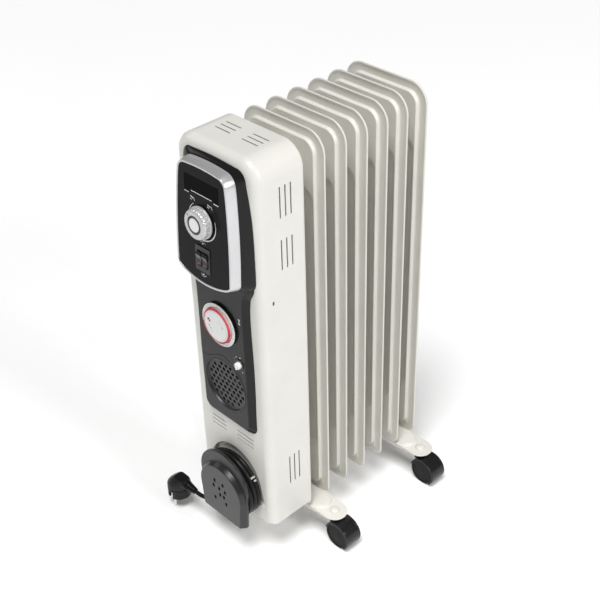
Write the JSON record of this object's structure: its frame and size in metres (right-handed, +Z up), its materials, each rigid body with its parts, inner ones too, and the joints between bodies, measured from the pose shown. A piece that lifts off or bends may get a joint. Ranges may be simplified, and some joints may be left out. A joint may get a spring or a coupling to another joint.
{
  "type": "oil filled radiator heater",
  "caption": "Upright oil filled fin radiator on twin-wheel casters, with a control housing that carries a thermostat knob, rocker switches, timer dial, fan grille and cord winder.",
  "frame": {"origin": "on the floor, under the middle of the heater's length and width, cord and plug left out", "axes": "+X to the right of someone facing the controls, -Y out of the control panel, +Z up"},
  "size_m": [0.279, 0.3428, 0.634],
  "materials": {
    "fin_paint": "satin cream enamel",
    "housing_paint": "satin cream enamel",
    "bracket_paint": "satin cream enamel",
    "element_steel": "dull steel",
    "shield_steel": "galvanised steel",
    "fascia_black": "glossy black moulding",
    "grille_black": "satin black moulding",
    "bezel_silver": "silver painted moulding",
    "face_black": "high gloss black",
    "window_black": "smoked window",
    "knob_silver": "silver painted moulding",
    "cap_silver": "silver cap",
    "brass": "turned brass",
    "moulding_tan": "moulded phenolic",
    "rocker_black": "glossy black",
    "frame_black": "satin black",
    "timer_white": "white moulding",
    "selector_white": "white moulding",
    "ptc_aluminium": "bare aluminium",
    "fan_plastic": "black moulding",
    "winder_grey": "satin dark grey moulding",
    "cord_black": "satin rubber sheath",
    "plug_black": "satin black moulding",
    "pin_nickel": "nickel plated",
    "zinc": "zinc plated",
    "caster_black": "glossy black moulding",
    "wheel_black": "satin black moulding"
  },
  "bodies": {
    "heater": {"fin_1": "fin_paint", "fin_2": "fin_paint", "fin_3": "fin_paint", "fin_4": "fin_paint", "fin_5": "fin_paint", "fin_6": "fin_paint", "fin_7": "fin_paint", "upper_header": "fin_paint", "lower_header": "fin_paint", "housing": "housing_paint", "bracket_front": "bracket_paint", "bracket_rear": "bracket_paint", "caster_caps": "bracket_paint", "heating_element": "element_steel", "heat_shield": "shield_steel", "fan_motor": "shield_steel", "thermal_cutout": "shield_steel", "panel_body": "fascia_black", "fan_grille": "grille_black", "bezel": "bezel_silver", "face_plate": "face_black", "display_window": "window_black", "thermostat": "moulding_tan", "selector_switch": "moulding_tan", "terminal_block": "moulding_tan", "tip_switch": "moulding_tan", "timer_mechanism": "moulding_tan", "rocker_frame": "frame_black", "timer_ring": "timer_white", "ptc_heater": "ptc_aluminium", "fan_frame": "fan_plastic", "winder": "winder_grey", "cord_coil": "cord_black", "cord_tail": "cord_black", "strain_relief": "cord_black", "plug_body": "plug_black", "plug_pins": "pin_nickel", "u_bolts": "zinc", "wing_nuts": "zinc"},
    "thermostat_dial": {"thermostat_knob": "knob_silver", "knob_cap": "cap_silver", "thermostat_shaft": "brass"},
    "left_rocker": {"rocker_left": "rocker_black"},
    "right_rocker": {"rocker_right": "rocker_black"},
    "timer_dial": {"timer_dial": "timer_white"},
    "function_selector": {"selector_knob": "selector_white"},
    "fan": {"fan_impeller": "fan_plastic"},
    "caster_front_left": {"caster_fork_front_left": "caster_black"},
    "wheel_front_left": {"caster_wheel_front_left": "wheel_black", "caster_axle_front_left": "zinc"},
    "caster_front_right": {"caster_fork_front_right": "caster_black"},
    "wheel_front_right": {"caster_wheel_front_right": "wheel_black", "caster_axle_front_right": "zinc"},
    "caster_rear_left": {"caster_fork_rear_left": "caster_black"},
    "wheel_rear_left": {"caster_wheel_rear_left": "wheel_black", "caster_axle_rear_left": "zinc"},
    "caster_rear_right": {"caster_fork_rear_right": "caster_black"},
    "wheel_rear_right": {"caster_wheel_rear_right": "wheel_black", "caster_axle_rear_right": "zinc"}
  },
  "joints": [
    {"name": "thermostat_turn", "type": "hinge", "parent": "heater", "child": "thermostat_dial", "pos_m": [0, -0.15824, 0.543], "axis": [0, 0.9986, -0.0523], "range_deg": [0, 290]},
    {"name": "left_rocker_tilt", "type": "hinge", "parent": "heater", "child": "left_rocker", "pos_m": [-0.0059, -0.15797, 0.49091], "axis": [-1, 0, 0], "range_deg": [0, 14]},
    {"name": "right_rocker_tilt", "type": "hinge", "parent": "heater", "child": "right_rocker", "pos_m": [0.0049, -0.15797, 0.49091], "axis": [-1, 0, 0], "range_deg": [0, 14]},
    {"name": "timer_turn", "type": "hinge", "parent": "heater", "child": "timer_dial", "pos_m": [0, -0.145, 0.385], "axis": [0, 1, 0], "continuous": true},
    {"name": "selector_turn", "type": "hinge", "parent": "heater", "child": "function_selector", "pos_m": [0.0325, -0.145, 0.3365], "axis": [0, 1, 0], "range_deg": [0, 90]},
    {"name": "fan_spin", "type": "hinge", "parent": "heater", "child": "fan", "pos_m": [0, -0.11, 0.285], "axis": [0, 1, 0], "continuous": true},
    {"name": "swivel_front_left", "type": "hinge", "parent": "heater", "child": "caster_front_left", "pos_m": [-0.101, -0.0404, 0.05], "axis": [0, 0, 1], "continuous": true},
    {"name": "roll_front_left", "type": "hinge", "parent": "caster_front_left", "child": "wheel_front_left", "pos_m": [-0.117, -0.0404, 0.0205], "axis": [0, 1, 0], "continuous": true},
    {"name": "swivel_front_right", "type": "hinge", "parent": "heater", "child": "caster_front_right", "pos_m": [0.101, -0.0404, 0.05], "axis": [0, 0, 1], "continuous": true},
    {"name": "roll_front_right", "type": "hinge", "parent": "caster_front_right", "child": "wheel_front_right", "pos_m": [0.117, -0.0404, 0.0205], "axis": [0, 1, 0], "continuous": true},
    {"name": "swivel_rear_left", "type": "hinge", "parent": "heater", "child": "caster_rear_left", "pos_m": [-0.101, 0.1456, 0.05], "axis": [0, 0, 1], "continuous": true},
    {"name": "roll_rear_left", "type": "hinge", "parent": "caster_rear_left", "child": "wheel_rear_left", "pos_m": [-0.117, 0.1456, 0.0205], "axis": [0, 1, 0], "continuous": true},
    {"name": "swivel_rear_right", "type": "hinge", "parent": "heater", "child": "caster_rear_right", "pos_m": [0.101, 0.1456, 0.05], "axis": [0, 0, 1], "continuous": true},
    {"name": "roll_rear_right", "type": "hinge", "parent": "caster_rear_right", "child": "wheel_rear_right", "pos_m": [0.117, 0.1456, 0.0205], "axis": [0, 1, 0], "continuous": true}
  ]
}
